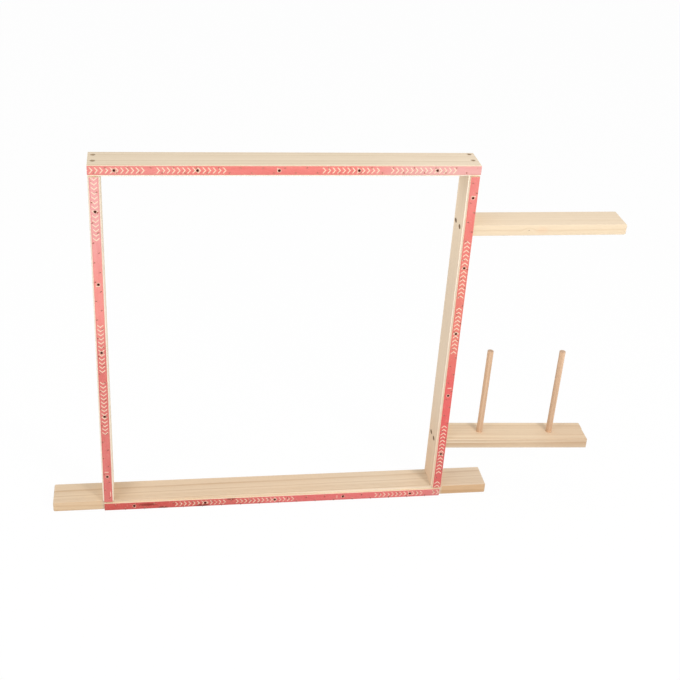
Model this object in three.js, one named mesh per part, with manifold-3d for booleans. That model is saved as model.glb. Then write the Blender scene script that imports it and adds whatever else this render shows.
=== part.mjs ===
// Tufting frame: a square of four pine boards with gripper strips on its front edges,
// a base board that runs on past both sides, and two shelves on its right-hand side.
// Millimetres, +Z up. The origin is under the middle of the base board.
// +X runs to the shelves, and -Y is the front, where the gripper strips are.

import * as THREE from "three";
import { mergeGeometries, mergeVertices } from "three/addons/utils/BufferGeometryUtils.js";
import Module from "manifold-3d";

const wasm = await Module();
wasm.setup();

// Boards: all six are sawn from the same planed pine
const boardDepth = 80;
const boardThickness = 27;
const arrisRadius = 1.2;
const arrisSteps = 3;
const railLength = 900;
const stileLength = 900;
const baseOverhang = 127;

// Shelves: each board's end stands against the right stile's outer face
const upperShelfLength = 390;
const upperShelfDrop = 154; // from the frame's top down to the shelf's top
const lowerShelfLength = 387;
const lowerShelfRise = 153.5; // from the base board's top up to the shelf's top
const lowerShelfSwing = 3.6; // degrees towards the front, with both ends sawn to match

// Yarn pegs: dowels pushed into blind sockets on the lower shelf's middle line
const pegDiameter = 16;
const pegHeight = 250; // above the shelf
const pegSocketDepth = 15;
const pegClearance = 0.15;
const pegEase = 1;
const innerPegReach = 98.8; // from the right stile to the peg's axis
const outerPegInset = 97.4; // from the shelf's free end to the peg's axis
const pegSides = 24;

// Gripper strips: as long as their boards, but for the base strip, which stops short of the corners
const stripWidth = 22;
const stripThickness = 6;
const stripEase = 0.5;
const baseStripEndInset = 3.5;
const leftStripInset = 3; // from the frame's outer side to the strip's outer edge
const rightStripInset = 1;

// Pins of a gripper strip: round wire with a point, in two staggered rows that slant outwards
const pinPitch = 50;
const pinEndMargin = 15;
const pinRowInset = 5; // from the strip's long edges to the pins' feet
const pinSlant = 60; // degrees between a pin and the strip's face
const pinReach = 5; // how far a point stands out of the face
const pinDiameter = 1.5;
const pinPointLength = 2.5;
const pinRoot = 1.5; // how deep a pin is modelled inside the strip
const pinSides = 5;

// Strip nails: flat heads on the strip's face, shanks through it into the board
const nailsPerStrip = 5;
const nailHeadDiameter = 5.6;
const nailHeadThickness = 1.1;
const nailDiameter = 2.4;
const nailLength = 25;
const nailPointLength = 4;
const nailClearance = 0.15;
const nailSides = 8;

// A strip's nails are evenly spaced between its first and last one, placed from the strip's two ends
const topNails = { first: 59, last: 105 };
const leftNails = { first: 81, last: 83 };
const rightNails = { first: 53, last: 111 };
const baseNails = { first: 81, last: 76 };

// Wood screws: countersunk, driven a little below the surface
const screwLength = 70;
const screwHeadDiameter = 8.8;
const screwDiameter = 4.5;
const screwRimHeight = 0.5;
const screwPointLength = 6;
const screwSink = 0.8;
const screwClearance = 0.15;
const screwSides = 12;
const screwSetback = 12; // from the frame's outer side to the screws in the stiles' ends

// Each joint has two screws, placed from the boards' front and back edges
const baseScrews = { front: 26, back: 18 };
const topLeftScrews = { front: 25, back: 18 };
const topRightScrews = { front: 31, back: 10 };
const upperShelfScrews = { front: 26, back: 17 };
const lowerShelfScrews = { front: 27, back: 22 };

// Places that follow from the sizes above
const frameTop = 2 * boardThickness + stileLength;
const frameSide = railLength / 2;
const upperShelfTop = frameTop - upperShelfDrop;
const lowerShelfTop = boardThickness + lowerShelfRise;
const frontFace = -boardDepth / 2;
const backFace = boardDepth / 2;
const cutMargin = 1; // how far a cutting tool runs on past the surface it opens

// Materials
function pine() {
  return new THREE.MeshStandardMaterial({ color: 0xe4cfa6, roughness: 0.65, metalness: 0 });
}

function dowelWood() {
  return new THREE.MeshStandardMaterial({ color: 0xddb488, roughness: 0.6, metalness: 0 });
}

function printedPlywood() {
  return new THREE.MeshStandardMaterial({ color: 0xee8078, roughness: 0.7, metalness: 0 });
}

function screwSteel() {
  return new THREE.MeshStandardMaterial({ color: 0x8a7a58, roughness: 0.4, metalness: 1 });
}

function nailSteel() {
  return new THREE.MeshStandardMaterial({ color: 0x4a4038, roughness: 0.5, metalness: 1 });
}

// A closed geometry as a solid that can be cut and joined
function toSolid(geometry) {
  const bare = geometry.clone();
  bare.deleteAttribute("normal");
  bare.deleteAttribute("uv");
  const merged = mergeVertices(bare);
  const vertProperties = new Float32Array(merged.attributes.position.array);
  const triVerts = new Uint32Array(merged.index.array);
  return new wasm.Manifold(new wasm.Mesh({ numProp: 3, vertProperties, triVerts }));
}

// A solid back as a flat-shaded geometry
function toGeometry(solid) {
  const { vertProperties, triVerts } = solid.getMesh();
  const geometry = new THREE.BufferGeometry();
  geometry.setAttribute("position", new THREE.BufferAttribute(vertProperties, 3));
  geometry.setIndex(new THREE.BufferAttribute(triVerts, 1));
  const flat = geometry.toNonIndexed();
  flat.computeVertexNormals();
  return flat;
}

function namedMesh(name, geometry, material) {
  const mesh = new THREE.Mesh(geometry, material);
  mesh.name = name;
  return mesh;
}

// Rectangle with rounded corners, as straight edges and short arcs
function easedRectangle(width, height, radius) {
  const outline = new THREE.Shape();
  const x = width / 2 - radius;
  const y = height / 2 - radius;
  outline.absarc(x, y, radius, 0, Math.PI / 2);
  outline.absarc(-x, y, radius, Math.PI / 2, Math.PI);
  outline.absarc(-x, -y, radius, Math.PI, 1.5 * Math.PI);
  outline.absarc(x, -y, radius, 1.5 * Math.PI, 2 * Math.PI);
  outline.closePath();
  return outline;
}

// Bar along X, centred on the origin, with its long edges eased and cut into equal sections
function easedBar(length, depth, thickness, radius, curveSegments, sections = 1) {
  const outline = easedRectangle(depth, thickness, radius);
  const bar = new THREE.ExtrudeGeometry(outline, {
    depth: length,
    steps: sections,
    bevelEnabled: false,
    curveSegments,
  });
  bar.translate(0, 0, -length / 2);
  bar.rotateX(Math.PI / 2);
  bar.rotateZ(Math.PI / 2);
  return bar;
}

function boardGeometry(length) {
  return easedBar(length, boardDepth, boardThickness, arrisRadius, arrisSteps);
}

// Board in three sections, the middle one as long as the frame, so that each overhang has faces of its own
function overhangingBoardGeometry(frameLength, overhang) {
  const length = frameLength + 2 * overhang;
  const bar = easedBar(length, boardDepth, boardThickness, arrisRadius, arrisSteps, 3);
  const corners = bar.attributes.position;
  for (let i = 0; i < corners.count; i += 1) {
    const x = corners.getX(i);
    if (Math.abs(x) < length / 4) {
      corners.setX(i, Math.sign(x) * frameLength / 2);
    }
  }
  return bar;
}

// Revolved piece whose axis is the local Z axis, from [radius, height] pairs that rise
function turned(profile, sides) {
  const points = profile.map(([radius, height]) => new THREE.Vector2(radius, height));
  const geometry = new THREE.LatheGeometry(points, sides);
  geometry.rotateX(Math.PI / 2);
  return geometry;
}

// Countersunk wood screw: the head's top is at the origin and the point is down -Z
function screwProfile(clearance) {
  const head = screwHeadDiameter / 2 + clearance;
  const shank = screwDiameter / 2 + clearance;
  const coneHeight = head - shank;
  return [
    [0, -screwLength - clearance],
    [shank, -screwLength + screwPointLength],
    [shank, -screwRimHeight - coneHeight],
    [head, -screwRimHeight],
  ];
}

function screwGeometry() {
  const head = screwHeadDiameter / 2;
  return turned([...screwProfile(0), [head, 0], [0, 0]], screwSides);
}

// The bore for one screw, with its countersink open to the surface above the head
function screwBore() {
  const head = screwHeadDiameter / 2 + screwClearance;
  const mouth = screwSink + cutMargin;
  return turned([...screwProfile(screwClearance), [head, mouth], [0, mouth]], screwSides);
}

// Flat-headed nail: the head's underside is at the origin and the point is down -Z
function nailGeometry() {
  const head = nailHeadDiameter / 2;
  const shank = nailDiameter / 2;
  const crown = nailHeadThickness;
  const profile = [
    [0, -nailLength],
    [shank, -nailLength + nailPointLength],
    [shank, 0],
    [head, 0],
    [head, crown / 2],
    [head - crown / 2, crown],
    [0, crown],
  ];
  return turned(profile, nailSides);
}

function nailBore() {
  const shank = nailDiameter / 2 + nailClearance;
  const profile = [
    [0, -nailLength - nailClearance],
    [shank, -nailLength + nailPointLength],
    [shank, cutMargin],
    [0, cutMargin],
  ];
  return turned(profile, nailSides);
}

// Cuts a bore out of each board, wherever the bore and the boards stand in the scene
function drill(boards, bores) {
  for (const board of boards) {
    board.updateWorldMatrix(true, false);
    const intoBoard = board.matrixWorld.clone().invert();
    let solid = toSolid(board.geometry);
    for (const bore of bores) {
      bore.updateWorldMatrix(true, false);
      const place = intoBoard.clone().multiply(bore.matrixWorld);
      solid = solid.subtract(toSolid(bore.geometry.clone().applyMatrix4(place)));
    }
    board.geometry = toGeometry(solid);
  }
}

// One gripper pin, standing out of the strip's face at (x, y) and slanting towards +Y
function pinSpike(x, y) {
  const slant = THREE.MathUtils.degToRad(pinSlant);
  const length = (pinReach + pinRoot) / Math.sin(slant);
  const radius = pinDiameter / 2;
  const profile = [
    [0, 0],
    [radius, 0],
    [radius, length - pinPointLength],
    [0, length],
  ];
  const spike = turned(profile, pinSides);
  spike.rotateX(slant - Math.PI / 2);
  spike.translate(x, y - pinRoot / Math.tan(slant), stripThickness - pinRoot);
  return spike;
}

// Places of both rows of pins, the outer row half a pitch ahead of the inner one
function pinPlaces(length) {
  const rowY = stripWidth / 2 - pinRowInset;
  const start = -length / 2 + pinEndMargin;
  const end = length / 2 - pinEndMargin;
  const places = [];
  for (let x = start; x <= end; x += pinPitch) {
    places.push([x, -rowY]);
  }
  for (let x = start + pinPitch / 2; x <= end; x += pinPitch) {
    places.push([x, rowY]);
  }
  return places;
}

// Gripper strip along X, its back on the XY plane and its outer edge towards +Y
function gripperStrip(name, length) {
  const body = easedBar(length, stripWidth, stripThickness, stripEase, 1);
  body.translate(0, 0, stripThickness / 2);
  const spikes = pinPlaces(length).map(([x, y]) => pinSpike(x, y));
  const solid = toSolid(body).add(toSolid(mergeGeometries(spikes)));
  return namedMesh(name, toGeometry(solid), printedPlywood());
}

// Frame boards
const tuftingFrame = new THREE.Group();
const stileCentre = frameSide - boardThickness / 2;

function board(name, geometry) {
  const mesh = namedMesh(name, geometry, pine());
  tuftingFrame.add(mesh);
  return mesh;
}

function stile(name, x) {
  const mesh = board(name, boardGeometry(stileLength));
  mesh.rotation.y = Math.PI / 2;
  mesh.position.set(x, 0, boardThickness + stileLength / 2);
  return mesh;
}

const baseBoard = board("base_board", overhangingBoardGeometry(railLength, baseOverhang));
baseBoard.position.z = boardThickness / 2;
const leftStile = stile("left_stile", -stileCentre);
const rightStile = stile("right_stile", stileCentre);
const topRail = board("top_rail", boardGeometry(railLength));
topRail.position.z = frameTop - boardThickness / 2;

// Upper shelf: square to the frame
const upperShelf = board("upper_shelf", boardGeometry(upperShelfLength));
upperShelf.position.set(frameSide + upperShelfLength / 2, 0, upperShelfTop - boardThickness / 2);

// Lower shelf: a board swung towards the front, and sawn off level with the stile at both ends
function swungBoard(length, swing) {
  const blank = boardGeometry(2 * length);
  blank.rotateZ(-swing);
  const keep = new THREE.BoxGeometry(length, 2 * length, 2 * boardThickness);
  keep.translate(length / 2, 0, 0);
  return toGeometry(toSolid(blank).intersect(toSolid(keep)));
}

const swingAngle = THREE.MathUtils.degToRad(lowerShelfSwing);
const lowerShelf = board("lower_shelf", swungBoard(lowerShelfLength, swingAngle));
lowerShelf.position.set(frameSide, 0, lowerShelfTop - boardThickness / 2);

// Yarn pegs
function pegGeometry() {
  const radius = pegDiameter / 2;
  const profile = [
    [0, -pegSocketDepth],
    [radius, -pegSocketDepth],
    [radius, pegHeight - pegEase],
    [radius - pegEase, pegHeight],
    [0, pegHeight],
  ];
  return turned(profile, pegSides);
}

function pegSocket() {
  const radius = pegDiameter / 2 + pegClearance;
  const profile = [
    [0, -pegSocketDepth],
    [radius, -pegSocketDepth],
    [radius, cutMargin],
    [0, cutMargin],
  ];
  return turned(profile, pegSides);
}

function yarnPeg(name, reach) {
  const peg = namedMesh(name, pegGeometry(), dowelWood());
  peg.position.set(frameSide + reach, -reach * Math.tan(swingAngle), lowerShelfTop);
  const socket = new THREE.Mesh(pegSocket());
  socket.position.copy(peg.position);
  drill([lowerShelf], [socket]);
  tuftingFrame.add(peg);
}

yarnPeg("inner_peg", innerPegReach);
yarnPeg("outer_peg", lowerShelfLength - outerPegInset);

// Screwed joints: a pair of screws through one board into the end of the next.
// The screws' heads start at (x, z), and turn is the angle about Y that points them.
function screwedJoint(name, insets, x, z, turn, boards) {
  const depths = { front: frontFace + insets.front, back: backFace - insets.back };
  for (const [side, y] of Object.entries(depths)) {
    const screw = namedMesh(`screw_${name}_${side}`, screwGeometry(), screwSteel());
    screw.rotation.y = turn;
    screw.position.set(x, y, z);
    tuftingFrame.add(screw);
    const bore = new THREE.Mesh(screwBore());
    bore.rotation.copy(screw.rotation);
    bore.position.copy(screw.position);
    drill(boards, [bore]);
  }
}

const pointDown = 0;
const pointUp = Math.PI;
const pointRight = -Math.PI / 2;
const screwX = frameSide - screwSetback;
const topHeads = frameTop - screwSink;
const stileHeads = frameSide - boardThickness + screwSink;
const upperShelfMiddle = upperShelfTop - boardThickness / 2;
const lowerShelfMiddle = lowerShelfTop - boardThickness / 2;

screwedJoint("base_left", baseScrews, -screwX, screwSink, pointUp, [baseBoard, leftStile]);
screwedJoint("base_right", baseScrews, screwX, screwSink, pointUp, [baseBoard, rightStile]);
screwedJoint("top_left", topLeftScrews, -screwX, topHeads, pointDown, [topRail, leftStile]);
screwedJoint("top_right", topRightScrews, screwX, topHeads, pointDown, [topRail, rightStile]);
screwedJoint("upper_shelf", upperShelfScrews, stileHeads, upperShelfMiddle, pointRight, [rightStile, upperShelf]);
screwedJoint("lower_shelf", lowerShelfScrews, stileHeads, lowerShelfMiddle, pointRight, [rightStile, lowerShelf]);

// The frame's front plane: x to the right, y up and z towards the front
const front = new THREE.Group();
front.rotation.x = Math.PI / 2;
front.position.y = frontFace;
tuftingFrame.add(front);

// Nails along one strip's middle line, driven through it into its board
function nailStrip(holder, strip, side, length, nails, backingBoard) {
  const pitch = (length - nails.first - nails.last) / (nailsPerStrip - 1);
  const bores = [];
  for (let i = 0; i < nailsPerStrip; i += 1) {
    const nail = namedMesh(`nail_${side}_${i + 1}`, nailGeometry(), nailSteel());
    nail.position.set(nails.first + i * pitch - length / 2, 0, stripThickness);
    holder.add(nail);
    const bore = new THREE.Mesh(nailBore());
    bore.position.copy(nail.position);
    holder.add(bore);
    bores.push(bore);
  }
  drill([strip, backingBoard], bores);
  holder.remove(...bores);
}

// A strip with its nails, centred at (x, y) on the front plane, its outer edge turned by turn
function mountStrip(side, length, nails, x, y, turn, backingBoard) {
  const holder = new THREE.Group();
  holder.position.set(x, y, 0);
  holder.rotation.z = turn;
  front.add(holder);
  const strip = gripperStrip(`gripper_${side}`, length);
  holder.add(strip);
  nailStrip(holder, strip, side, length, nails, backingBoard);
}

const halfStrip = stripWidth / 2;
const leftStripX = -frameSide + leftStripInset + halfStrip;
const rightStripX = frameSide - rightStripInset - halfStrip;
const sideStripY = boardThickness + stileLength / 2;
const baseStripLength = railLength - 2 * baseStripEndInset;

mountStrip("top", railLength, topNails, 0, frameTop - halfStrip, 0, topRail);
mountStrip("left", stileLength, leftNails, leftStripX, sideStripY, Math.PI / 2, leftStile);
mountStrip("base", baseStripLength, baseNails, 0, halfStrip, Math.PI, baseBoard);
mountStrip("right", stileLength, rightNails, rightStripX, sideStripY, -Math.PI / 2, rightStile);

export default tuftingFrame;
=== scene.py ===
import math
import random

import bmesh
import bpy
from mathutils import Matrix, Vector


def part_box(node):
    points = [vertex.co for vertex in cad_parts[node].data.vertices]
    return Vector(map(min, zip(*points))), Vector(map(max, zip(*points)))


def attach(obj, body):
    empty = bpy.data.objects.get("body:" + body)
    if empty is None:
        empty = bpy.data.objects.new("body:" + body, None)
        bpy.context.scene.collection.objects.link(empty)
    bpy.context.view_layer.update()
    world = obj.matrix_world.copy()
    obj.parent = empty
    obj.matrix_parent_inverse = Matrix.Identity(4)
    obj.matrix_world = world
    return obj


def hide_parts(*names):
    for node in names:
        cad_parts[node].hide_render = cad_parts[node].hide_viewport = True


# Tufting frame: bare pine boards, red-printed gripper strips with slanted steel pins, and yarn pegs.
# Metres, in the frame's own axes: +X to the shelves, -Y to the front, +Z up.
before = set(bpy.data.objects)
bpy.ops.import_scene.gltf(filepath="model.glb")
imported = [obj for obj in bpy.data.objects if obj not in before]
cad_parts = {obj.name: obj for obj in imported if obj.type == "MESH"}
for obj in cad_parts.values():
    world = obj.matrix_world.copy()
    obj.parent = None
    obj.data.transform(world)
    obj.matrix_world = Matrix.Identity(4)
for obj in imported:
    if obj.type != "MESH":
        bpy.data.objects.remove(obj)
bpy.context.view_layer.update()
body = "root"
sides = ("top", "left", "base", "right")

# The photograph's camera
camera_place = Vector((-0.3240, -2.5204, 1.9287))
camera_aim = Vector((0.1446, -0.0400, 0.4929))
camera_roll = math.radians(4.0)
camera_lens = 61.98
camera_sensor = 36.0
camera_clip_end = 100.0

# The studio: what lights the object, and what the camera sees
white = (1.0, 1.0, 1.0, 1.0)
floor_half = 40.0
floor_colour = (0.62, 0.62, 0.62, 1.0)
floor_seen_colour = (0.98, 0.98, 0.98, 1.0)
floor_white_share = 0.96
world_colour = (0.98, 0.99, 1.0, 1.0)
world_strength = 0.58

# Boards: how far the lower shelf is swung, and how far from the base board's middle the ends of its front
# start, where the painted light on the front takes other factors
shelf_swing = math.radians(3.6)
front_end_from = 0.447
front_end_fade = 0.010

# Gripper strips and their pins
strip_thickness = 0.006
strip_ease = 0.0005
strip_stations = 90
glue_half_thickness = 0.00008
pin_pitch = 0.050
pin_end_margin = 0.015
pin_row_inset = 0.005
pin_slant = math.radians(60)
pin_reach = 0.005
pin_radius = 0.00075
pin_point = 0.0025
pin_root = 0.0015

# Nails
nail_head_radius = 0.0028
nail_head_thickness = 0.0011
nail_radius = 0.0012
nail_length = 0.025
nail_point = 0.004
nail_neck = 0.0004
nail_tilt_degrees = 1.5

# Screws
screw_length = 0.070
screw_head_radius = 0.0044
screw_radius = 0.00225
screw_point = 0.006
screw_rim = 0.0005
screw_rim_ease = 0.00015
recess_depth = 0.0021
core_start = 0.012
thread_start = 0.014
thread_pitch = 0.0026
thread_half = 0.0006

# Pegs
peg_radius = 0.008
peg_ease = 0.001
peg_foot_ease = 0.0004

# The print on the strips: groups of chevrons, with a short tick between two groups
mark_period = 0.533
mark_cell = 0.0227
mark_cells = 14
mark_gap_cell = 6
mark_half_height = 0.0070
mark_stroke = 0.0030
mark_slope = 0.85
mark_strength = 0.86
tick_place = 0.425
tick_side = 0.0012
tick_half_height = 0.0050
tick_half_width = 0.0011
tick_strength = 0.95
print_raggedness = 0.0014

# Bare wood round a nail or a pin, the stain round a nail, and the painted shade at a pin's foot: full up to
# the first distance, gone at the second, and strength
nail_bare = (0.0042, 0.0054, 0.6)
nail_stain = (0.0030, 0.0041, 0.85)
pin_bare = (0.0012, 0.0019, 0.3)
pin_foot_shade = (0.0009, 0.0018, 0.5)

# Bands along a strip's long edges: where one starts and is full, inward of the edge, and how strong it is
edge_bare = (0.0010, 0.0004, 0.5)
edge_ink = (0.0040, 0.0015, 0.9)


def srgb(red, green, blue):
    """Linear colour of a screen colour from 0 to 255."""
    def linear(value):
        value /= 255
        return value / 12.92 if value <= 0.04045 else ((value + 0.055) / 1.055) ** 2.4
    return (linear(red), linear(green), linear(blue), 1.0)


# Node trees
class Nodes:
    """A node tree, written as nested calls. A value is a number, a colour or another node's output."""

    def __init__(self, tree):
        self.tree = tree
        tree.nodes.clear()

    def node(self, kind, **settings):
        """A new node with these settings."""
        made = self.tree.nodes.new(kind)
        for key, value in settings.items():
            setattr(made, key, value)
        return made

    def put(self, socket, value):
        """Gives an input its value."""
        if isinstance(value, bpy.types.NodeSocket):
            self.tree.links.new(value, socket)
        else:
            socket.default_value = value

    def filled(self, kind, *values, **settings):
        """The first output of a new node whose inputs take the values in order."""
        made = self.node(kind, **settings)
        for socket, value in zip(made.inputs, values):
            self.put(socket, value)
        return made.outputs[0]

    def math(self, operation, *values, clamp=False):
        return self.filled("ShaderNodeMath", *values, operation=operation, use_clamp=clamp)

    def add(self, a, b):
        return self.math("ADD", a, b)

    def subtract(self, a, b):
        return self.math("SUBTRACT", a, b)

    def times(self, a, b):
        return self.math("MULTIPLY", a, b)

    def total(self, *parts):
        """The sum of (value, weight) pairs."""
        terms = [self.times(value, weight) for value, weight in parts]
        result = terms[0]
        for term in terms[1:]:
            result = self.add(result, term)
        return result

    def vector(self, operation, a, b):
        return self.filled("ShaderNodeVectorMath", a, b, operation=operation)

    def length(self, vector):
        """How long a vector is."""
        made = self.node("ShaderNodeVectorMath", operation="LENGTH")
        self.put(made.inputs[0], vector)
        return made.outputs["Value"]

    def split(self, vector):
        """The three coordinates of a vector."""
        made = self.node("ShaderNodeSeparateXYZ")
        self.put(made.inputs[0], vector)
        return list(made.outputs)

    def join(self, x, y, z=0.0):
        """The vector with these coordinates."""
        return self.filled("ShaderNodeCombineXYZ", x, y, z)

    def noise(self, place, scales, detail=2.0, roughness=0.5):
        """Noise from 0 to 1 at three coordinates, each with its own number of cells to the metre."""
        scaled = [self.times(value, scale) for value, scale in zip(place, scales)]
        made = self.node("ShaderNodeTexNoise")
        self.put(made.inputs["Vector"], self.join(*scaled))
        self.put(made.inputs["Scale"], 1.0)
        self.put(made.inputs["Detail"], detail)
        self.put(made.inputs["Roughness"], roughness)
        return made.outputs["Fac"]

    def line_noise(self, value, scale, detail):
        """Noise from 0 to 1 that varies with one value."""
        made = self.node("ShaderNodeTexNoise", noise_dimensions="1D")
        self.put(made.inputs["W"], value)
        self.put(made.inputs["Scale"], scale)
        self.put(made.inputs["Detail"], detail)
        return made.outputs["Fac"]

    def wobble(self, noise, size):
        """A noise from 0 to 1 as a wobble about 0 of this size."""
        return self.times(self.subtract(noise, 0.5), size)

    def step(self, value, low, high, out_low=0.0, out_high=1.0):
        """Smooth step from out_low, at low, to out_high, at high."""
        made = self.node("ShaderNodeMapRange", interpolation_type="SMOOTHSTEP")
        for key, number in (("Value", value), ("From Min", low), ("From Max", high),
                            ("To Min", out_low), ("To Max", out_high)):
            self.put(made.inputs[key], number)
        return made.outputs["Result"]

    def fading(self, value, full, gone, strength=1.0):
        """Smooth step down from strength, at full, to nothing, at gone."""
        return self.step(value, full, gone, strength, 0.0)

    def mix(self, factor, a, b, blend="MIX"):
        """Colour a, turning to colour b with factor."""
        made = self.node("ShaderNodeMix", data_type="RGBA", blend_type=blend)
        self.put(made.inputs[0], factor)
        self.put(made.inputs[6], a)
        self.put(made.inputs[7], b)
        return made.outputs[2]

    def tinted(self, colour, tint):
        """The colour times a tint."""
        return self.mix(1.0, colour, tint, "MULTIPLY")

    def shaded(self, colour, shade):
        """The colour times a grey shade."""
        return self.tinted(colour, self.join(shade, shade, shade))

    def mix_shaders(self, factor, a, b):
        return self.filled("ShaderNodeMixShader", factor, a, b)


class Surface(Nodes):
    """A material of the object, on one Principled shader."""

    def __init__(self, name):
        self.material = bpy.data.materials.new(name)
        self.material.use_nodes = True
        super().__init__(self.material.node_tree)
        output = self.node("ShaderNodeOutputMaterial")
        self.shader = self.node("ShaderNodeBsdfPrincipled")
        self.put(output.inputs["Surface"], self.shader.outputs["BSDF"])
        coordinates = self.node("ShaderNodeTexCoord")
        self.place = coordinates.outputs["Object"]
        self.normal = coordinates.outputs["Normal"]

    def finish(self, colour, roughness, height, relief, specular, metallic=0.0):
        """Fills the shader in. height is the bump, and relief is how deep one unit of it is."""
        bump = self.node("ShaderNodeBump")
        self.put(bump.inputs["Height"], height)
        self.put(bump.inputs["Distance"], relief)
        self.put(bump.inputs["Strength"], 1.0)
        for key, value in (("Base Color", colour), ("Roughness", roughness), ("Metallic", metallic),
                           ("Specular IOR Level", specular), ("Normal", bump.outputs["Normal"])):
            self.put(self.shader.inputs[key], value)
        return self.material


# Screws: where they are
def screw_place(node):
    """The middle of a screw's head, and the turn that brings the local Z axis out of it."""
    low, high = (Vector(v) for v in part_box(node))
    size = high - low
    centre = (low + high) / 2
    if size.x > size.z:
        return Vector((low.x, centre.y, centre.z)), Matrix.Rotation(-math.pi / 2, 4, "Y")
    if node.startswith("screw_base"):
        return Vector((centre.x, centre.y, low.z)), Matrix.Rotation(math.pi, 4, "X")
    return Vector((centre.x, centre.y, high.z)), Matrix()


def screw_heads_on(board):
    """The places of the screw heads that sit in the board."""
    low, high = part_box(board)
    room = 0.001
    found = []
    for node in sorted(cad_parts):
        if node.startswith("screw_"):
            head = screw_place(node)[0]
            if all(low[i] - room <= head[i] <= high[i] + room for i in range(3)):
                found.append(head)
    return found


# Wood
def growth_rings(g, place, pith, spacing, tilt, wander, seed):
    """How much late wood there is. pith is how far the log's pith is from the board's middle, across and
    through it. The pith leans by tilt and strays by wander, and spacing is the width of a ring."""
    along, across, through = place
    stray_across = g.wobble(g.line_noise(g.add(along, seed), scale=1.7, detail=2.0), wander)
    stray_through = g.wobble(g.line_noise(g.add(along, seed + 31.7), scale=2.3, detail=2.0), wander * 0.7)
    p = g.add(g.subtract(across, pith[0]), g.add(stray_across, g.times(along, tilt[0])))
    q = g.add(g.subtract(through, pith[1]), g.add(stray_through, g.times(along, tilt[1])))
    shaken = g.wobble(g.noise((along, p, q), (5.0, 60.0, 60.0)), 0.0011)
    radius = g.add(g.length(g.join(p, q)), shaken)
    uneven = g.times(g.line_noise(g.add(radius, seed), scale=55.0, detail=1.0), 3.0)
    phase = g.math("FRACT", g.add(g.math("DIVIDE", radius, spacing), uneven))
    rise = g.step(phase, 0.25, 0.88)
    fall = g.fading(phase, 0.90, 1.0)
    year = g.line_noise(g.add(radius, seed + 5.3), scale=95.0, detail=0.0)
    return g.times(g.times(rise, fall), g.step(year, 0.30, 0.66, 0.35, 1.25))


def end_grain(g, axis):
    """1 on faces that cut across the grain."""
    return g.step(g.math("ABSOLUTE", g.split(g.normal)[axis]), 0.6, 0.8)


def knot_fields(g, place, centre):
    """A pin knot: its dark core, the blush beside it and how far the grain bends round it."""
    x, y, z = (g.subtract(value, middle) for value, middle in zip(place, centre))
    reach = g.length(g.join(g.times(x, 0.75), y, z))
    core = g.fading(reach, 0.0005, 0.0016)
    blush_reach = g.length(g.join(g.times(g.subtract(x, 0.034), 0.6), y, z))
    blush = g.fading(blush_reach, 0.002, 0.014, 0.16)
    bulge = g.fading(reach, 0.0, 0.016, 0.004)
    return core, blush, bulge


def painted_front_light(g, colour, along, front):
    """The colour with painted light on the front edge: a factor that makes the faces looking to the front
    lighter or darker than the rest of the board, and other factors at the two ends of that edge.
    """
    tone = (*front[0], 1.0)
    for side, end_factor in zip((-1, 1), front[1:]):
        end = g.step(g.times(along, side), front_end_from, front_end_from + front_end_fade)
        tone = g.mix(end, tone, (*end_factor, 1.0))
    facing = g.fading(g.split(g.normal)[1], -0.8, -0.5)
    return g.mix(facing, colour, g.tinted(colour, tone))


def bruised_and_shaded(g, colour, fibre, board, bruise_and_shade):
    """The colour with a brown ring round each screw head in the board, partly a bruise stained brown and
    partly painted shade that widens the dark of the sunk head, and how far the wood is pressed in.
    bruise_and_shade is the ring's reach, its strength, and the share that a distance along Y counts for."""
    reach, strength, share = bruise_and_shade
    pressed = 0.0
    for head in screw_heads_on(board):
        away = g.vector("MULTIPLY", g.vector("SUBTRACT", g.place, head), (1.0, share, 1.0))
        ring = g.fading(g.add(g.length(away), g.wobble(fibre, 0.0012)), screw_head_radius, reach)
        # Brown ring: stained, bruised wood and painted shade round the sunk head
        colour = g.mix(g.times(ring, strength), colour, srgb(96, 68, 46))
        pressed = g.add(pressed, ring)
    return colour, pressed


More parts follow.
